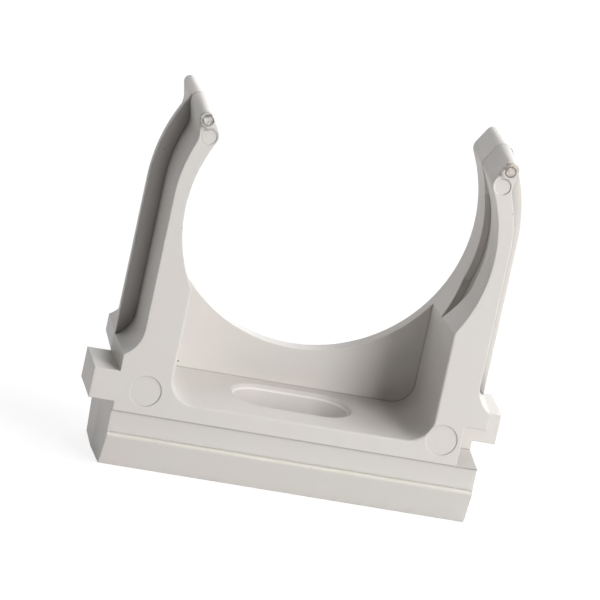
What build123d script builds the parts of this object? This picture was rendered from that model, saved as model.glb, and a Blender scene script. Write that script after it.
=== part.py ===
from build123d import *
from math import radians, tan
import os

# Snap-in clip for rigid conduit, moulded in one piece.
# The conduit lies along Y. +Z is up and away from the wall, the front face looks along -Y, and the
# origin is the middle of the base. The mould opens along Y and parts at y = 0, so the outer walls
# fall away from that plane by the draft. Widths and heights are given at the front and back faces.

# Body
conduit_diameter = 40.0
conduit_height = 35.3
body_depth = 17.6
draft_angle = 2.0

# Foot under the body
foot_width = 47.6
foot_height = 7.65
foot_setback = 0.5
foot_rail_height = 4.6
foot_rail_setback = 0.05
foot_rail_radius = 0.3
foot_rail_groove = 0.1
foot_base_setback = 2.05

# Shoulders that carry the arms
shoulder_width = 47.6
shoulder_height = 15.15
shoulder_hollow_top = 18.8

# Arms
arm_width = 43.5
arm_straight_top = 36.5
neck_width = 40.2
neck_height = 44.5
neck_radius = 3.0

# Lips that lead the conduit in and hold it
lip_height = 47.9
lip_outer_width = 41.6
lip_inner_width = 38.6
lip_radius = 0.8
mouth_width = 35.0
mouth_height = 45.0
nose_radius = 1.4

# Stiffening rib along the outside of each arm
rib_width = 48.2
rib_thickness = 1.3
rib_straight_top = 36.0
rib_top_width = 41.8
rib_top_height = 47.6

# Relief on the inside of each arm
relief_width = 5.8
relief_depth = 0.95
relief_arc_radius = 18.0
relief_arc_drop = 0.6
relief_point_height = 24.0
relief_full_height = 29.0
relief_narrow_height = 40.5
relief_end_height = 45.4

# Pocket over the foot, and the saddle web behind it
pocket_width = 34.0
pocket_floor = 10.0
pocket_corner_radius = 3.3
pocket_draft = 1.5
pocket_edge_radius = 0.3
web_thickness = 2.3

# Slot for the fixing screw, countersunk all round for its head
head_slot_length = 15.4
head_slot_width = 8.6
head_slot_edge_radius = 0.3
screw_slot_width = 5.0
countersink_angle = 42.0

# Tabs and notches that lock a row of clips together
tab_reach = 3.3
tab_bottom = 8.9
tab_top = 12.9
notch_reach = 2.85
notch_top = 13.0

# Ejector marks sunk in the front face, and the gate marks above them
foot_mark_radius = 2.0
foot_mark_height = 10.8
left_mark_x = -20.1
right_mark_x = 18.4
arm_mark_radius = 1.05
arm_mark_height = 44.8
arm_mark_width = 38.0
mark_depth = 0.1
gate_mark_radius = 0.75
gate_stub_radius = 0.55
gate_mark_height = 46.85
gate_mark_width = 39.1

half_depth = body_depth / 2
seat_radius = conduit_diameter / 2
cut_over = 1.0
countersink_depth = (head_slot_width - screw_slot_width) / 2 / tan(radians(countersink_angle))
countersink_rise = cut_over * tan(radians(countersink_angle))
screw_slot_length = head_slot_length - head_slot_width + screw_slot_width
lead_share = 0.5
lead_run = (lip_inner_width - mouth_width) / 2 * lead_share
lead_rise = (lip_height - mouth_height) * lead_share
front_face = Plane.XZ.offset(half_depth)


# Foot: its ends have the draft, and its long sides step out to a rail that slopes in to the base.
with BuildPart() as foot:
    with BuildSketch(front_face):
        with Locations((0, foot_height / 2)):
            Rectangle(foot_width, foot_height)
    extrude(amount=-half_depth)
    draft(foot.faces().filter_by(Axis.X), neutral_plane=front_face, angle=draft_angle)
    mirror(about=Plane.XZ)
    with BuildSketch(Plane.YZ) as section:
        with BuildLine():
            Polyline(
                (0, 0),
                (half_depth - foot_base_setback, 0),
                (half_depth - foot_rail_setback, foot_rail_height),
                (half_depth - foot_setback - foot_rail_groove, foot_rail_height + foot_rail_groove),
                (half_depth - foot_setback, foot_rail_height + 2 * foot_rail_groove),
                (half_depth - foot_setback, foot_height),
                (0, foot_height),
            )
            mirror(about=Plane.YZ)
        make_face()
        rails = section.vertices().filter_by_position(Axis.Y, foot_rail_height, foot_rail_height)
        fillet(rails, radius=foot_rail_radius)
    extrude(amount=foot_width, both=True, mode=Mode.INTERSECT)


# Body: the outline up to the tips of the lips, filled in between the arms.
with BuildPart() as body:
    with BuildSketch(front_face) as outline:
        with BuildLine():
            Polyline((0, foot_height), (shoulder_width / 2, foot_height), (shoulder_width / 2, shoulder_height))
            TangentArc(
                (arm_width / 2, shoulder_hollow_top),
                (shoulder_width / 2, shoulder_height),
                tangent=(0, -1),
            )
            Line((arm_width / 2, shoulder_hollow_top), (arm_width / 2, arm_straight_top))
            TangentArc((arm_width / 2, arm_straight_top), (neck_width / 2, neck_height), tangent=(0, 1))
            Polyline(
                (neck_width / 2, neck_height),
                (lip_outer_width / 2, lip_height),
                (lip_inner_width / 2, lip_height),
                (mouth_width / 2 - lead_run, mouth_height - lead_rise),
                (0, mouth_height - lead_rise),
            )
            mirror(about=Plane.YZ)
        make_face()
        necks = outline.vertices().filter_by_position(Axis.Y, neck_height, neck_height)
        fillet(necks, radius=neck_radius)
        tips = outline.vertices().filter_by_position(Axis.Y, lip_height, lip_height)
        fillet(tips, radius=lip_radius)
    extrude(amount=-half_depth)
    walls = body.faces().filter_by(Axis.Y, reverse=True)
    draft(walls, neutral_plane=front_face, angle=draft_angle)
    with BuildSketch(front_face):
        with Locations((0, conduit_height)):
            Circle(seat_radius)
    extrude(amount=-body_depth, mode=Mode.SUBTRACT)
    # The noses, where the lips run into the seat, are rounded.
    flare_walls = body.faces().filter_by(GeomType.PLANE).filter_by_position(Axis.Z, mouth_height, lip_height)
    noses = flare_walls.edges().filter_by(GeomType.ELLIPSE)
    fillet(noses, radius=nose_radius)
    mirror(about=Plane.XZ)


# Pocket, open to the front, with walls that close in towards the web.
with BuildPart() as pocket:
    with BuildSketch(front_face) as pocket_outline:
        with Locations((0, (pocket_floor + conduit_height) / 2)):
            Rectangle(pocket_width, conduit_height - pocket_floor)
        fillet(pocket_outline.vertices().group_by(Axis.Y)[0], radius=pocket_corner_radius)
    extrude(amount=-(body_depth - web_thickness))
    walls = pocket.faces().filter_by(Axis.Y, reverse=True).sort_by(Axis.Z)[:-1]
    draft(walls, neutral_plane=front_face, angle=-pocket_draft)


# Screw slot: straight sides up from the base, and a countersink that opens into the pocket floor.
with BuildPart() as screw_slot:
    with BuildSketch(Plane.XY.offset(pocket_floor + cut_over)):
        SlotOverall(head_slot_length + 2 * countersink_rise, head_slot_width + 2 * countersink_rise)
    extrude(amount=-countersink_depth - cut_over)
    sides = screw_slot.faces().filter_by(Axis.Z, reverse=True)
    draft(sides, neutral_plane=Plane.XY.offset(pocket_floor + cut_over), angle=-countersink_angle)
    with BuildSketch(Plane.XY):
        SlotOverall(screw_slot_length, screw_slot_width)
    extrude(amount=pocket_floor)


with BuildPart() as relief:
    # The floor of the relief is an arc of a smaller circle than the seat, set out towards the arm and
    # a little lower, so the relief is deepest beside the conduit and nearly runs out at the lip.
    with BuildSketch(Plane.XZ):
        with Locations((seat_radius + relief_depth - relief_arc_radius, conduit_height - relief_arc_drop)):
            Circle(relief_arc_radius)
        with Locations((0, conduit_height)):
            Circle(seat_radius - cut_over, mode=Mode.SUBTRACT)
    extrude(amount=relief_width / 2, both=True)
    # Both its ends come to a point on the parting plane.
    with BuildSketch(Plane.YZ):
        with BuildLine():
            Polyline(
                (0, relief_point_height),
                (relief_width / 2, relief_full_height),
                (relief_width / 2, relief_narrow_height),
                (0, relief_end_height),
                (-relief_width / 2, relief_narrow_height),
                (-relief_width / 2, relief_full_height),
                close=True,
            )
        make_face()
    extrude(amount=rib_width / 2, mode=Mode.INTERSECT)


with BuildPart() as conduit_clip:
    add(foot.part)
    add(body.part)

    # Ribs, one along the outside of each arm on the parting plane.
    with BuildSketch(Plane.XZ):
        with BuildLine():
            Polyline(
                (neck_width / 2 - cut_over, foot_height - cut_over),
                (rib_width / 2, foot_height - cut_over),
                (rib_width / 2, rib_straight_top),
            )
            TangentArc((rib_width / 2, rib_straight_top), (rib_top_width / 2, rib_top_height), tangent=(0, 1))
            Polyline(
                (rib_top_width / 2, rib_top_height),
                (neck_width / 2 - cut_over, neck_height),
                (neck_width / 2 - cut_over, foot_height - cut_over),
            )
        make_face()
        mirror(about=Plane.YZ)
    extrude(amount=rib_thickness / 2, both=True)

    # Pocket, with a rounded front edge, which leaves the saddle web at the back.
    add(pocket.part, mode=Mode.SUBTRACT)
    on_front = conduit_clip.edges().filter_by_position(Axis.Y, -half_depth, -half_depth)
    pocket_rim = on_front.filter_by_position(Axis.X, -pocket_width / 2 - 0.1, pocket_width / 2 + 0.1)
    pocket_rim = pocket_rim.filter_by_position(Axis.Z, pocket_floor - 0.1, conduit_height - seat_radius / 2)
    fillet(pocket_rim, radius=pocket_edge_radius)

    # Screw slot through the foot.
    add(screw_slot.part, mode=Mode.SUBTRACT)
    slot_rim = conduit_clip.edges().filter_by_position(Axis.Z, pocket_floor, pocket_floor + cut_over)
    slot_rim = slot_rim.filter_by_position(Axis.X, -head_slot_length / 2 - 0.5, head_slot_length / 2 + 0.5)
    slot_rim = slot_rim.filter_by_position(Axis.Y, -head_slot_width / 2 - 0.5, head_slot_width / 2 + 0.5)
    fillet(slot_rim, radius=head_slot_edge_radius)

    # Notches: the right one in the front half, the left one in the back half.
    notch_middle = (foot_height + notch_top) / 2
    for side in (1, -1):
        with BuildSketch(Plane.XZ):
            with Locations((side * (shoulder_width / 2 - notch_reach + foot_width / 2), notch_middle)):
                Rectangle(foot_width, notch_top - foot_height)
        extrude(amount=side * body_depth, mode=Mode.SUBTRACT)

    # Tabs: the left one in the front half, the right one in the back half.
    for side in (-1, 1):
        tab_middle = shoulder_width / 2 + (tab_reach - notch_reach) / 2
        with BuildSketch(Plane.XZ):
            with Locations((side * tab_middle, (tab_bottom + tab_top) / 2)):
                Rectangle(notch_reach + tab_reach, tab_top - tab_bottom)
        extrude(amount=-side * half_depth)

    # Reliefs on the inside of both arms.
    add(relief.part, mode=Mode.SUBTRACT)
    add(relief.part.mirror(Plane.YZ), mode=Mode.SUBTRACT)

    # Ejector marks, and a ring round the stub of each gate.
    with BuildSketch(front_face):
        with Locations((left_mark_x, foot_mark_height), (right_mark_x, foot_mark_height)):
            Circle(foot_mark_radius)
        with Locations((-arm_mark_width / 2, arm_mark_height), (arm_mark_width / 2, arm_mark_height)):
            Circle(arm_mark_radius)
        with Locations((-gate_mark_width / 2, gate_mark_height), (gate_mark_width / 2, gate_mark_height)):
            Circle(gate_mark_radius)
            Circle(gate_stub_radius, mode=Mode.SUBTRACT)
    extrude(amount=-mark_depth, mode=Mode.SUBTRACT)

conduit_clip.part.label = "conduit_clip"

os.makedirs("parts", exist_ok=True)
export_step(conduit_clip.part, "parts/conduit_clip.step")
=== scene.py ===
import math

import bmesh
import bpy
from mathutils import Matrix, Vector

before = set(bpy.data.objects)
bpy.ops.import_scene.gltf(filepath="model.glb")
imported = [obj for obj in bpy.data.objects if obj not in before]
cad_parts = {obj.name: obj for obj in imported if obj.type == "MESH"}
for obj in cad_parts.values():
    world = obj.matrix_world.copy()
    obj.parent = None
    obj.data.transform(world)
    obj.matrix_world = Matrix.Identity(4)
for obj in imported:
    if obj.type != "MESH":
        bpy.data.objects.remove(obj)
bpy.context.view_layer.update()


# Camera: a long lens, a little above the clip and to its left, tipped over so that the foot runs
# downhill to the right as in the photograph.
camera_azimuth = math.radians(10.581)
camera_elevation = math.radians(15.083)
camera_roll = math.radians(12.294)
camera_distance = 1.2164
camera_target = Vector((-0.001634, 0.0, 0.0235))

turn = Matrix.Rotation(-camera_azimuth, 4, "Z")
tip = Matrix.Rotation(math.pi / 2 - camera_elevation, 4, "X")
roll = Matrix.Rotation(camera_roll, 4, "Z")
camera_matrix = turn @ tip @ roll
standoff = camera_matrix.to_3x3() @ Vector((0.0, 0.0, camera_distance))
camera_matrix.translation = camera_target + standoff

camera_data = bpy.data.cameras.new("photo_camera")
camera_data.lens = 575.65
camera_data.sensor_width = 36.0
camera_data.clip_start = 0.01
camera_data.clip_end = 20.0
camera = bpy.data.objects.new("photo_camera", camera_data)
camera.matrix_world = camera_matrix
bpy.context.scene.collection.objects.link(camera)
bpy.context.scene.camera = camera


# Studio: square soft boxes round the clip. The two strongest stand low on its right, one in front
# and one behind. The world gives a weak even fill, and the camera and clear reflections see it as
# plain white.
soft_box_side = 0.30
soft_boxes = [
    ("front_low", (0.347, -0.600, 0.119), 2.53),
    ("back_right_low", (0.531, 0.446, 0.119), 2.02),
    ("right_high", (0.303, -0.175, 0.628), 1.68),
    ("front_high", (0.303, -0.525, 0.372), 1.32),
    ("back_low", (0.179, 0.670, 0.119), 0.71),
    ("back", (0.148, 0.554, 0.424), 0.68),
    ("back_high", (0.000, 0.262, 0.671), 0.48),
    ("back_left_mid", (-0.365, 0.585, 0.144), 0.18),
    ("back_left_low", (-0.237, 0.651, 0.119), 0.17),
    ("back_left", (-0.196, 0.539, 0.424), 0.16),
    ("left", (-0.648, 0.236, 0.144), 0.25),
]
clip_middle = Vector((0.0, 0.0, 0.022))
for name, place, power in soft_boxes:
    lamp_data = bpy.data.lights.new(name, "AREA")
    lamp_data.shape = "SQUARE"
    lamp_data.size = soft_box_side
    lamp_data.energy = power
    lamp = bpy.data.objects.new(name, lamp_data)
    lamp.location = place
    lamp.rotation_euler = (clip_middle - Vector(place)).to_track_quat("-Z", "Y").to_euler()
    bpy.context.scene.collection.objects.link(lamp)


def maths(operation, *values):
    """A value worked out from one or two others."""
    step = nodes.new("ShaderNodeMath")
    step.operation = operation
    for socket, value in zip(step.inputs, values):
        links.new(value, socket)
    return step.outputs["Value"]


def backdrop_rays():
    """1 for the camera's rays and clear reflections, which see the backdrop, and 0 for light."""
    path = nodes.new("ShaderNodeLightPath")
    clear = maths("MAXIMUM", path.outputs["Is Glossy Ray"], path.outputs["Is Transmission Ray"])
    return maths("MAXIMUM", path.outputs["Is Camera Ray"], clear)


world = bpy.data.worlds.new("studio_world")
bpy.context.scene.world = world
world.use_nodes = True
nodes = world.node_tree.nodes
links = world.node_tree.links
nodes.clear()
output = nodes.new("ShaderNodeOutputWorld")
mix = nodes.new("ShaderNodeMixShader")
fill = nodes.new("ShaderNodeBackground")
fill.inputs["Color"].default_value = (1.0, 1.0, 1.0, 1.0)
fill.inputs["Strength"].default_value = 0.02
seen = nodes.new("ShaderNodeBackground")
seen.inputs["Color"].default_value = (1.0, 1.0, 1.0, 1.0)
seen.inputs["Strength"].default_value = 1.0
links.new(backdrop_rays(), mix.inputs["Fac"])
links.new(fill.outputs["Background"], mix.inputs[1])
links.new(seen.outputs["Background"], mix.inputs[2])
links.new(mix.outputs["Shader"], output.inputs["Surface"])

bpy.context.scene.view_settings.view_transform = "Standard"


# Floor: a wide sheet of matt white card, laid flat under the clip. The camera sees a thin coat of
# it that takes the clip's soft shadow, over a glow that brings it near to white.
floor_reach = 3.0
floor_mesh = bpy.data.meshes.new("floor")
sheet = bmesh.new()
bmesh.ops.create_grid(sheet, x_segments=1, y_segments=1, size=floor_reach)
sheet.to_mesh(floor_mesh)
sheet.free()
floor = bpy.data.objects.new("floor", floor_mesh)
bpy.context.scene.collection.objects.link(floor)

floor_paint = bpy.data.materials.new("floor_paint")
floor_paint.use_nodes = True
nodes = floor_paint.node_tree.nodes
links = floor_paint.node_tree.links
nodes.clear()
output = nodes.new("ShaderNodeOutputMaterial")
mix = nodes.new("ShaderNodeMixShader")
matt = nodes.new("ShaderNodeBsdfDiffuse")
matt.inputs["Color"].default_value = (0.92, 0.92, 0.92, 1.0)
pale = nodes.new("ShaderNodeAddShader")
thin = nodes.new("ShaderNodeBsdfDiffuse")
thin.inputs["Color"].default_value = (0.25, 0.25, 0.25, 1.0)
glow = nodes.new("ShaderNodeEmission")
glow.inputs["Strength"].default_value = 0.85
links.new(thin.outputs["BSDF"], pale.inputs[0])
links.new(glow.outputs["Emission"], pale.inputs[1])
links.new(backdrop_rays(), mix.inputs["Fac"])
links.new(matt.outputs["BSDF"], mix.inputs[1])
links.new(pale.outputs["Shader"], mix.inputs[2])
links.new(mix.outputs["Shader"], output.inputs["Surface"])
floor_mesh.materials.append(floor_paint)


# Clip: one injection moulding in light warm grey rigid PVC. Its skin is nearly matt, with the faint
# waviness and mottle of the moulding, and it still has its gate marks, its parting line and a few
# specks.
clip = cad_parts["conduit_clip"]
plastic = bpy.data.materials.new("grey_rigid_pvc")
plastic.use_nodes = True
nodes = plastic.node_tree.nodes
links = plastic.node_tree.links
shader = nodes["Principled BSDF"]
shader.inputs["IOR"].default_value = 1.5
shader.inputs["Specular IOR Level"].default_value = 0.35

# Colours for painted shade in corners and under edges, and for painted highlights on edges.
painted_shade = (0.24, 0.22, 0.20)
painted_highlight = (0.90, 0.88, 0.84)
ray_samples = 8


def fade(value, start, end, at_start=0.0, at_end=1.0):
    """A smooth step of a value from one level to another, held level beyond both."""
    ramp = nodes.new("ShaderNodeMapRange")
    ramp.interpolation_type = "SMOOTHSTEP"
    ramp.inputs["From Min"].default_value = start
    ramp.inputs["From Max"].default_value = end
    ramp.inputs["To Min"].default_value = at_start
    ramp.inputs["To Max"].default_value = at_end
    links.new(value, ramp.inputs["Value"])
    return ramp.outputs["Result"]


def both(first, second):
    """The product of two masks."""
    return maths("MULTIPLY", first, second)


def band(value, rise, fall):
    """A stripe: it comes up over the first pair of values and goes down over the second."""
    return both(fade(value, *rise), fade(value, *fall, 1.0, 0.0))


def cloud(scale, detail):
    """Soft noise fixed to the clip, in cells of about 1 / scale metres."""
    noise = nodes.new("ShaderNodeTexNoise")
    noise.inputs["Scale"].default_value = scale
    noise.inputs["Detail"].default_value = detail
    links.new(on_clip, noise.inputs["Vector"])
    return noise.outputs["Fac"]


def distance(place, point):
    """How far a place is from a point."""
    reach = nodes.new("ShaderNodeVectorMath")
    reach.operation = "DISTANCE"
    reach.inputs[1].default_value = point
    links.new(place, reach.inputs[0])
    return reach.outputs["Value"]


def spot(middle, radius):
    """A round mask at a point of the clip, soft at its rim."""
    return fade(distance(on_clip, middle), radius * 0.6, radius * 1.2, 1.0, 0.0)


def openness(reach):
    """1 on an open face, and less where other faces of the clip stand within reach."""
    shelter = nodes.new("ShaderNodeAmbientOcclusion")
    shelter.samples = ray_samples
    shelter.only_local = True
    shelter.inputs["Distance"].default_value = reach
    return shelter.outputs["AO"]


def tint(colour, mask, other):
    """The colour so far, changed to another one where the mask says."""
    coat = nodes.new("ShaderNodeMix")
    coat.data_type = "RGBA"
    coat.inputs["B"].default_value = (*other, 1.0)
    links.new(mask, coat.inputs["Factor"])
    links.new(colour, coat.inputs["A"])
    return coat.outputs["Result"]


def relief_of(pattern, strength, rise, under):
    """A normal that follows a pattern's height over the normal so far."""
    bump = nodes.new("ShaderNodeBump")
    bump.inputs["Strength"].default_value = strength
    bump.inputs["Distance"].default_value = rise
    links.new(pattern, bump.inputs["Height"])
    links.new(under, bump.inputs["Normal"])
    return bump.outputs["Normal"]


# Where a place on the clip is: its depth and height, how far it is out to either side and from the
# middle of the depth, and whether it is on the outside of an arm, seen from the seat's axis.
on_clip = nodes.new("ShaderNodeTexCoord").outputs["Object"]
across = nodes.new("ShaderNodeSeparateXYZ")
links.new(on_clip, across.inputs["Vector"])
depth = across.outputs["Y"]
height = across.outputs["Z"]
outward = maths("ABSOLUTE", across.outputs["X"])
from_middle = maths("ABSOLUTE", depth)
in_outline = nodes.new("ShaderNodeCombineXYZ")
links.new(across.outputs["X"], in_outline.inputs["X"])
links.new(height, in_outline.inputs["Z"])
seat_middle = (0.0, 0.0, 0.0353)
outside_arms = fade(distance(in_outline.outputs["Vector"], seat_middle), 0.0210, 0.0213)

# The pigment is mixed a little unevenly: clouds that lean to pink or to green.
clouds = cloud(130.0, 3.0)
pigment = nodes.new("ShaderNodeValToRGB")
pigment.color_ramp.elements[0].position = 0.32
pigment.color_ramp.elements[0].color = (0.655, 0.614, 0.592, 1.0)
pigment.color_ramp.elements[1].position = 0.68
pigment.color_ramp.elements[1].color = (0.638, 0.624, 0.586, 1.0)
links.new(clouds, pigment.inputs["Fac"])
colour = pigment.outputs["Color"]

# Specks: dark grains in the pigment, few and tiny, with a larger one in the left rabbet.
# The spot in the pocket's corner, where the web, floor and left wall meet, is painted shade.
grains = nodes.new("ShaderNodeTexVoronoi")
grains.inputs["Scale"].default_value = 300.0
links.new(on_clip, grains.inputs["Vector"])
grain_specks = fade(grains.outputs["Distance"], 0.02, 0.045, 0.55, 0.0)
rabbet_speck = spot((-0.02150, -0.00217, 0.04092), 0.00017)
pocket_corner_shade = spot((-0.01420, 0.00650, 0.01111), 0.00015)
colour = tint(colour, grain_specks, (0.22, 0.20, 0.18))
colour = tint(colour, rabbet_speck, (0.03, 0.03, 0.03))
colour = tint(colour, pocket_corner_shade, (0.28, 0.26, 0.24))

# Gate marks: where the sprues were broken off, the skin is torn. The right one is stained tan.
left_gate = spot((-0.01955, -0.00880, 0.04690), 0.00130)
right_gate = spot((0.01925, -0.00860, 0.04725), 0.00140)
right_gate_pit = spot((0.01850, -0.00815, 0.04790), 0.00050)
torn = cloud(1500.0, 2.0)
colour = tint(colour, both(left_gate, fade(torn, 0.50, 0.60, 0.0, 0.75)), (0.30, 0.29, 0.26))
colour = tint(colour, both(right_gate, fade(torn, 0.32, 0.60, 0.20, 0.85)), (0.56, 0.48, 0.41))
colour = tint(colour, right_gate_pit, (0.26, 0.22, 0.19))

# Parting line: a broken dark line across both lips that goes on down the outside of each rib,
# painted shadow of the small step where the two halves of the mould met.
line_back_edge = (-0.00034, -0.00024)
on_lips = fade(height, 0.0444, 0.0450)
lip_parting_shadow = both(band(depth, (-0.00046, -0.00036), line_back_edge), on_lips)
lip_breaks = fade(cloud(900.0, 2.0), 0.38, 0.52, 0.0, 0.6)
colour = tint(colour, both(lip_parting_shadow, lip_breaks), (0.22, 0.19, 0.18))
on_ribs = both(fade(outward, 0.0203, 0.0205), fade(height, 0.0165, 0.0170))
on_ribs = both(on_ribs, outside_arms)
rib_parting_shadow = both(band(depth, (-0.00060, -0.00054), line_back_edge), on_ribs)
rib_breaks = fade(cloud(400.0, 2.0), 0.35, 0.65, 0.40, 0.65)
colour = tint(colour, both(rib_parting_shadow, rib_breaks), (0.17, 0.16, 0.15))

# Painted shade: a fine dark line along the body's lower edges, where each edge rounds down over
# the foot and shades the strip below it.
lower_edge_shade = band(height, (0.00762, 0.00767), (0.00776, 0.00784))
lower_edge_shade = both(lower_edge_shade, fade(from_middle, 0.0086, 0.0087, 0.0, 0.42))
colour = tint(colour, lower_edge_shade, painted_shade)

# Slot rim: a painted highlight along the rim's small rounding, where it catches the light.
slot_rim_highlight = band(height, (0.00968, 0.00976), (0.00993, 0.00999))
slot_rim_highlight = both(slot_rim_highlight, fade(outward, 0.0080, 0.0084, 0.62, 0.0))
slot_rim_highlight = both(slot_rim_highlight, fade(from_middle, 0.0045, 0.0048, 1.0, 0.0))
colour = tint(colour, slot_rim_highlight, painted_highlight)

# Rail crests: a pale cream painted highlight along the tops of the foot's two rails.
rail_highlight = band(height, (0.00395, 0.00445), (0.00470, 0.00485))
rail_highlight = both(rail_highlight, fade(from_middle, 0.0082, 0.0084, 0.0, 0.38))
colour = tint(colour, rail_highlight, (0.82, 0.79, 0.69))

# Painted shade: the tight corners above the rails are darkened, and only thinly in the marks on
# the arms' ends.
in_corners = openness(0.0004)
crease_shade = both(fade(in_corners, 0.50, 0.78, 0.65, 0.0), fade(height, 0.0050, 0.0054))
arm_ends = both(fade(height, 0.0432, 0.0438), fade(from_middle, 0.0084, 0.0086))
crease_shade = both(crease_shade, fade(arm_ends, 0.0, 1.0, 1.0, 0.20))
colour = tint(colour, crease_shade, painted_shade)

# Painted shade: the sheltered hollows beside the ribs are a shade greyer than the open faces.
beside_ribs = both(fade(outward, 0.0170, 0.0180), fade(height, 0.0132, 0.0155))
beside_ribs = both(beside_ribs, outside_arms)
rabbet_shade = both(fade(openness(0.003), 0.45, 0.95, 0.60, 0.0), beside_ribs)
colour = tint(colour, rabbet_shade, (0.03, 0.02, 0.02))

# The mould leaves every outer edge with a tiny radius, and those edges get a painted highlight,
# though not the ones that face down.
soft_edges = nodes.new("ShaderNodeBevel")
soft_edges.samples = ray_samples
soft_edges.inputs["Radius"].default_value = 0.00022
flat = nodes.new("ShaderNodeNewGeometry")
bend = nodes.new("ShaderNodeVectorMath")
bend.operation = "DOT_PRODUCT"
links.new(soft_edges.outputs["Normal"], bend.inputs[0])
links.new(flat.outputs["True Normal"], bend.inputs[1])
facing = nodes.new("ShaderNodeSeparateXYZ")
links.new(soft_edges.outputs["Normal"], facing.inputs["Vector"])
on_edges = fade(bend.outputs["Value"], 0.78, 0.98, 1.0, 0.0)
edge_highlight = both(on_edges, fade(in_corners, 0.75, 0.95, 0.0, 0.8))
edge_highlight = both(edge_highlight, fade(facing.outputs["Z"], -0.30, -0.05))
colour = tint(colour, edge_highlight, painted_highlight)
links.new(colour, shader.inputs["Base Color"])

# The skin's gloss changes a little with the same clouds.
links.new(fade(clouds, 0.0, 1.0, 0.40, 0.54), shader.inputs["Roughness"])

# The skin swells and sinks a little over the thick places, has a fine grain, steps down at the
# parting line and is rough where the gates were.
swell = cloud(160.0, 2.0)
fine_grain = cloud(2600.0, 3.0)
lip_step = both(on_lips, fade(depth, -0.00042, -0.00030))
torn_gates = both(maths("MAXIMUM", left_gate, right_gate), torn)
skin = relief_of(swell, 0.35, 0.00025, soft_edges.outputs["Normal"])
skin = relief_of(fine_grain, 0.30, 0.00003, skin)
skin = relief_of(lip_step, 0.8, 0.00008, skin)
skin = relief_of(torn_gates, 1.0, 0.00060, skin)
links.new(skin, shader.inputs["Normal"])

clip.data.materials.clear()
clip.data.materials.append(plastic)
